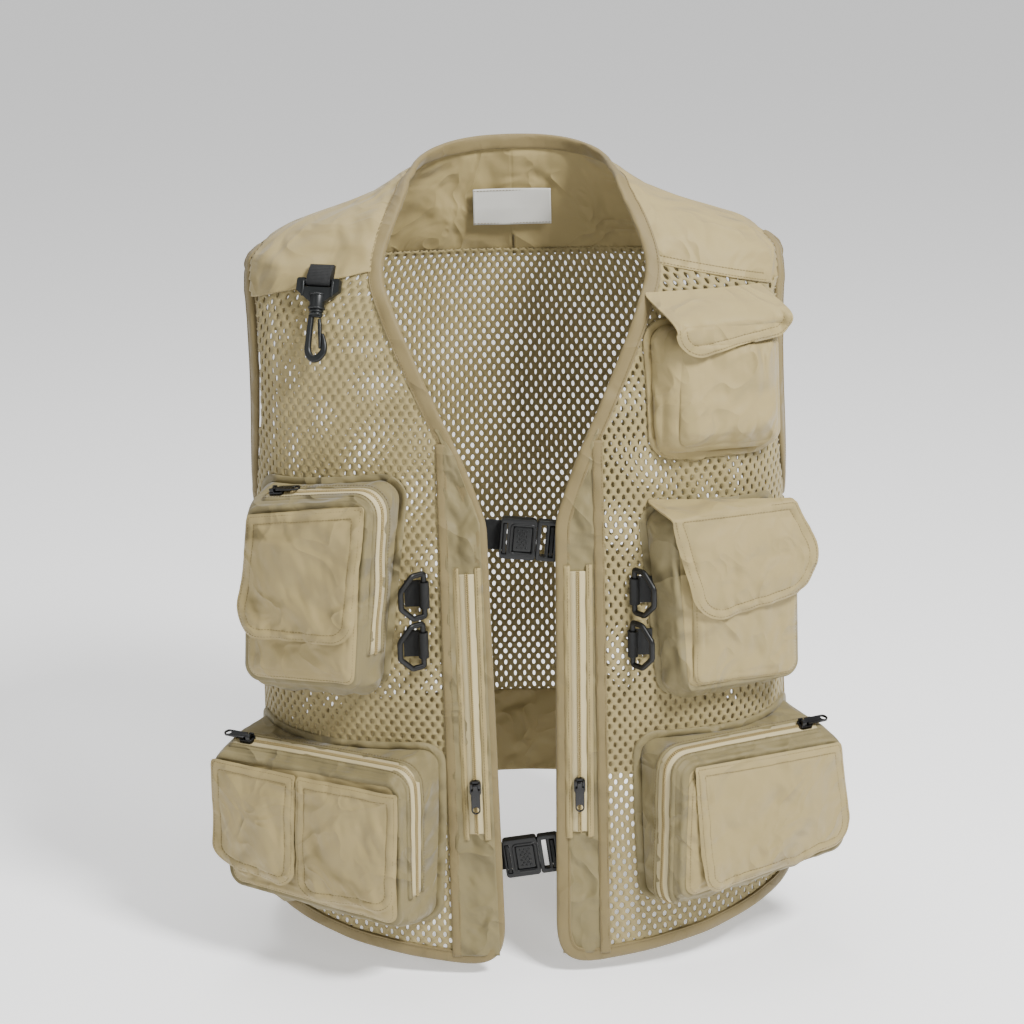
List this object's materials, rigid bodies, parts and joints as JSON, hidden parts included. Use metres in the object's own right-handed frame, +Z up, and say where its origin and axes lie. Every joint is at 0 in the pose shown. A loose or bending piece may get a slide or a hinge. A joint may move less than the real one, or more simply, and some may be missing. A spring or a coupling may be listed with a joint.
{
  "type": "fishing vest",
  "caption": "Sleeveless mesh fishing vest with box pockets under flaps, zips, buckled front straps, D rings and a swivel snap hook at the shoulder.",
  "frame": {"origin": "midway between the two shoulder-neck points, where the yoke rests on a wearer's shoulders", "axes": "+Z up along the vest, -Y out of its front, -X towards the wearer's right"},
  "size_m": [0.541, 0.291, 0.6637],
  "materials": {
    "plain_cloth": "plain woven cotton blend, khaki",
    "mesh_cloth": "knitted mesh with open oval holes, khaki",
    "binding_cloth": "woven tape, stitched",
    "label_cloth": "woven label, blank, off-white",
    "zip_tape": "zip tape with a moulded coil",
    "webbing": "ribbed black webbing",
    "black_plastic": "moulded, semi-gloss black",
    "zip_metal": "gloss black"
  },
  "bodies": {
    "vest": {"armhole_bindings": "binding_cloth", "back_hem_band": "binding_cloth", "back_mesh_panel": "mesh_cloth", "chest_buckle_housing": "black_plastic", "d_ring_tabs": "webbing", "edge_binding": "binding_cloth", "fixed_straps": "webbing", "front_zips": "zip_tape", "hook_webbing": "webbing", "left_chest_pouch": "plain_cloth", "left_front_mesh": "mesh_cloth", "left_low_face": "plain_cloth", "left_low_gusset": "plain_cloth", "left_low_patch": "plain_cloth", "left_low_zip": "zip_tape", "left_mid_face": "plain_cloth", "left_mid_gusset": "plain_cloth", "left_placket": "binding_cloth", "neck_label": "label_cloth", "right_front_mesh": "mesh_cloth", "right_low_face": "plain_cloth", "right_low_gusset": "plain_cloth", "right_low_patch": "plain_cloth", "right_low_zip": "zip_tape", "right_mid_face": "plain_cloth", "right_mid_gusset": "plain_cloth", "right_mid_patch": "plain_cloth", "right_mid_zip": "zip_tape", "right_placket": "binding_cloth", "shoulder_yoke": "plain_cloth", "waist_buckle_housing": "black_plastic"},
    "chest_tongue": {"chest_buckle_tongue": "black_plastic", "chest_buckle_strap": "webbing"},
    "waist_tongue": {"waist_buckle_tongue": "black_plastic", "waist_buckle_strap": "webbing"},
    "chest_buckle_button": {"chest_buckle_button": "black_plastic"},
    "hook_base": {"hook_base": "black_plastic"},
    "hook_gate": {"hook_gate": "black_plastic"},
    "left_chest_flap": {"left_chest_flap": "plain_cloth"},
    "left_front_pull": {"left_front_pull": "zip_metal"},
    "left_front_slider": {"left_front_slider": "zip_metal"},
    "left_low_flap": {"left_low_flap": "plain_cloth"},
    "left_low_pull": {"left_low_pull": "zip_metal"},
    "left_low_slider": {"left_low_slider": "zip_metal"},
    "left_lower_d_ring": {"left_lower_d_ring": "black_plastic"},
    "left_mid_flap": {"left_mid_flap": "plain_cloth"},
    "left_upper_d_ring": {"left_upper_d_ring": "black_plastic"},
    "right_front_pull": {"right_front_pull": "zip_metal"},
    "right_front_slider": {"right_front_slider": "zip_metal"},
    "right_low_flap_inner": {"right_low_flap_inner": "plain_cloth"},
    "right_low_flap_outer": {"right_low_flap_outer": "plain_cloth"},
    "right_low_pull": {"right_low_pull": "zip_metal"},
    "right_low_slider": {"right_low_slider": "zip_metal"},
    "right_lower_d_ring": {"right_lower_d_ring": "black_plastic"},
    "right_mid_flap": {"right_mid_flap": "plain_cloth"},
    "right_mid_pull": {"right_mid_pull": "zip_metal"},
    "right_mid_slider": {"right_mid_slider": "zip_metal"},
    "right_upper_d_ring": {"right_upper_d_ring": "black_plastic"},
    "snap_hook": {"snap_hook": "black_plastic"},
    "waist_buckle_button": {"waist_buckle_button": "black_plastic"}
  },
  "joints": [
    {"name": "right_mid_flap_lift", "type": "hinge", "parent": "vest", "child": "right_mid_flap", "pos_m": [-0.16989, -0.12431, -0.2455], "axis": [-0.8849, 0.4316, -0.1748], "range_deg": [0, 110]},
    {"name": "right_low_flap_outer_lift", "type": "hinge", "parent": "vest", "child": "right_low_flap_outer", "pos_m": [-0.22621, -0.10153, -0.474], "axis": [-0.8829, 0.4695, 0], "range_deg": [0, 110]},
    {"name": "right_low_flap_inner_lift", "type": "hinge", "parent": "vest", "child": "right_low_flap_inner", "pos_m": [-0.1463, -0.14402, -0.474], "axis": [-0.8829, 0.4695, 0], "range_deg": [0, 110]},
    {"name": "left_low_flap_lift", "type": "hinge", "parent": "vest", "child": "left_low_flap", "pos_m": [0.19884, -0.11609, -0.469], "axis": [-0.8808, -0.4683, 0.0693], "range_deg": [0, 110]},
    {"name": "left_mid_flap_lift", "type": "hinge", "parent": "vest", "child": "left_mid_flap", "pos_m": [0.15973, -0.11307, -0.256], "axis": [-0.8982, -0.4381, 0.0357], "range_deg": [0, 110]},
    {"name": "left_chest_flap_lift", "type": "hinge", "parent": "vest", "child": "left_chest_flap", "pos_m": [0.15886, -0.09813, -0.089], "axis": [-0.8988, -0.4384, 0], "range_deg": [0, 110]},
    {"name": "right_front_zip", "type": "slide", "parent": "vest", "child": "right_front_slider", "axis": [-0.0089, 0.0347, 0.9994], "range_m": [-0.025, 0.17]},
    {"name": "left_front_zip", "type": "slide", "parent": "vest", "child": "left_front_slider", "axis": [0.0089, 0.0347, 0.9994], "range_m": [-0.025, 0.17]},
    {"name": "right_mid_zip", "type": "slide", "parent": "vest", "child": "right_mid_slider", "axis": [-0.8897, 0.4339, -0.1419], "range_m": [-0.06, 0]},
    {"name": "right_low_zip", "type": "slide", "parent": "vest", "child": "right_low_slider", "axis": [0.8829, -0.4694, 0.014], "range_m": [0, 0.12]},
    {"name": "left_low_zip", "type": "slide", "parent": "vest", "child": "left_low_slider", "axis": [-0.8819, -0.4689, 0.0481], "range_m": [0, 0.12]},
    {"name": "right_front_pull_swing", "type": "hinge", "parent": "right_front_slider", "child": "right_front_pull", "pos_m": [-0.0429, -0.12482, -0.48577], "axis": [-1, -0.0003, -0.0089], "range_deg": [0, 150]},
    {"name": "left_front_pull_swing", "type": "hinge", "parent": "left_front_slider", "child": "left_front_pull", "pos_m": [0.0429, -0.12482, -0.48577], "axis": [-1, 0.0003, 0.0089], "range_deg": [0, 150]},
    {"name": "right_mid_pull_swing", "type": "hinge", "parent": "right_mid_slider", "child": "right_mid_pull", "pos_m": [-0.19751, -0.08848, -0.23732], "axis": [-0.4132, -0.8975, -0.1542], "range_deg": [0, 150]},
    {"name": "right_low_pull_swing", "type": "hinge", "parent": "right_low_slider", "child": "right_low_pull", "pos_m": [-0.23049, -0.07691, -0.45688], "axis": [0.4567, 0.8651, 0.2075], "range_deg": [0, 150]},
    {"name": "left_low_pull_swing", "type": "hinge", "parent": "left_low_slider", "child": "left_low_pull", "pos_m": [0.23083, -0.07714, -0.45685], "axis": [0.4425, -0.8588, -0.2583], "range_deg": [0, 150]},
    {"name": "right_upper_d_ring_swing", "type": "hinge", "parent": "vest", "child": "right_upper_d_ring", "pos_m": [-0.079, -0.11367, -0.322], "axis": [0, 0, 1], "range_deg": [0, 124]},
    {"name": "right_lower_d_ring_swing", "type": "hinge", "parent": "vest", "child": "right_lower_d_ring", "pos_m": [-0.081, -0.11597, -0.364], "axis": [0, 0, 1], "range_deg": [0, 124]},
    {"name": "left_upper_d_ring_swing", "type": "hinge", "parent": "vest", "child": "left_upper_d_ring", "pos_m": [0.09, -0.11225, -0.324], "axis": [0, 0, 1], "range_deg": [-110, 0]},
    {"name": "left_lower_d_ring_swing", "type": "hinge", "parent": "vest", "child": "left_lower_d_ring", "pos_m": [0.088, -0.11516, -0.368], "axis": [0, 0, 1], "range_deg": [-110, 0]},
    {"name": "hook_lift", "type": "hinge", "parent": "vest", "child": "hook_base", "pos_m": [-0.15412, -0.0654, -0.07495], "axis": [-0.9511, 0.309, 0], "range_deg": [0, 100]},
    {"name": "hook_swivel", "type": "hinge", "parent": "hook_base", "child": "snap_hook", "pos_m": [-0.15688, -0.07391, -0.09505], "axis": [0.1257, 0.3868, 0.9135], "range_deg": [-10, 190]},
    {"name": "hook_gate_press", "type": "hinge", "parent": "snap_hook", "child": "hook_gate", "pos_m": [-0.15379, -0.078, -0.10163], "axis": [0.2823, 0.8688, -0.4067], "range_deg": [0, 13], "stiffness_Nm_per_rad": 0.01},
    {"name": "chest_buckle_release", "type": "slide", "parent": "vest", "child": "chest_tongue", "axis": [0.9945, 0, -0.1045], "range_m": [0, 0.016]},
    {"name": "waist_buckle_release", "type": "slide", "parent": "vest", "child": "waist_tongue", "axis": [0.9925, 0, 0.1219], "range_m": [0, 0.016]},
    {"name": "chest_button_press", "type": "slide", "parent": "vest", "child": "chest_buckle_button", "axis": [0, 1, 0], "range_m": [0, 0.002], "stiffness_N_per_m": 900},
    {"name": "waist_button_press", "type": "slide", "parent": "vest", "child": "waist_buckle_button", "axis": [0, 1, 0], "range_m": [0, 0.002], "stiffness_N_per_m": 900}
  ]
}
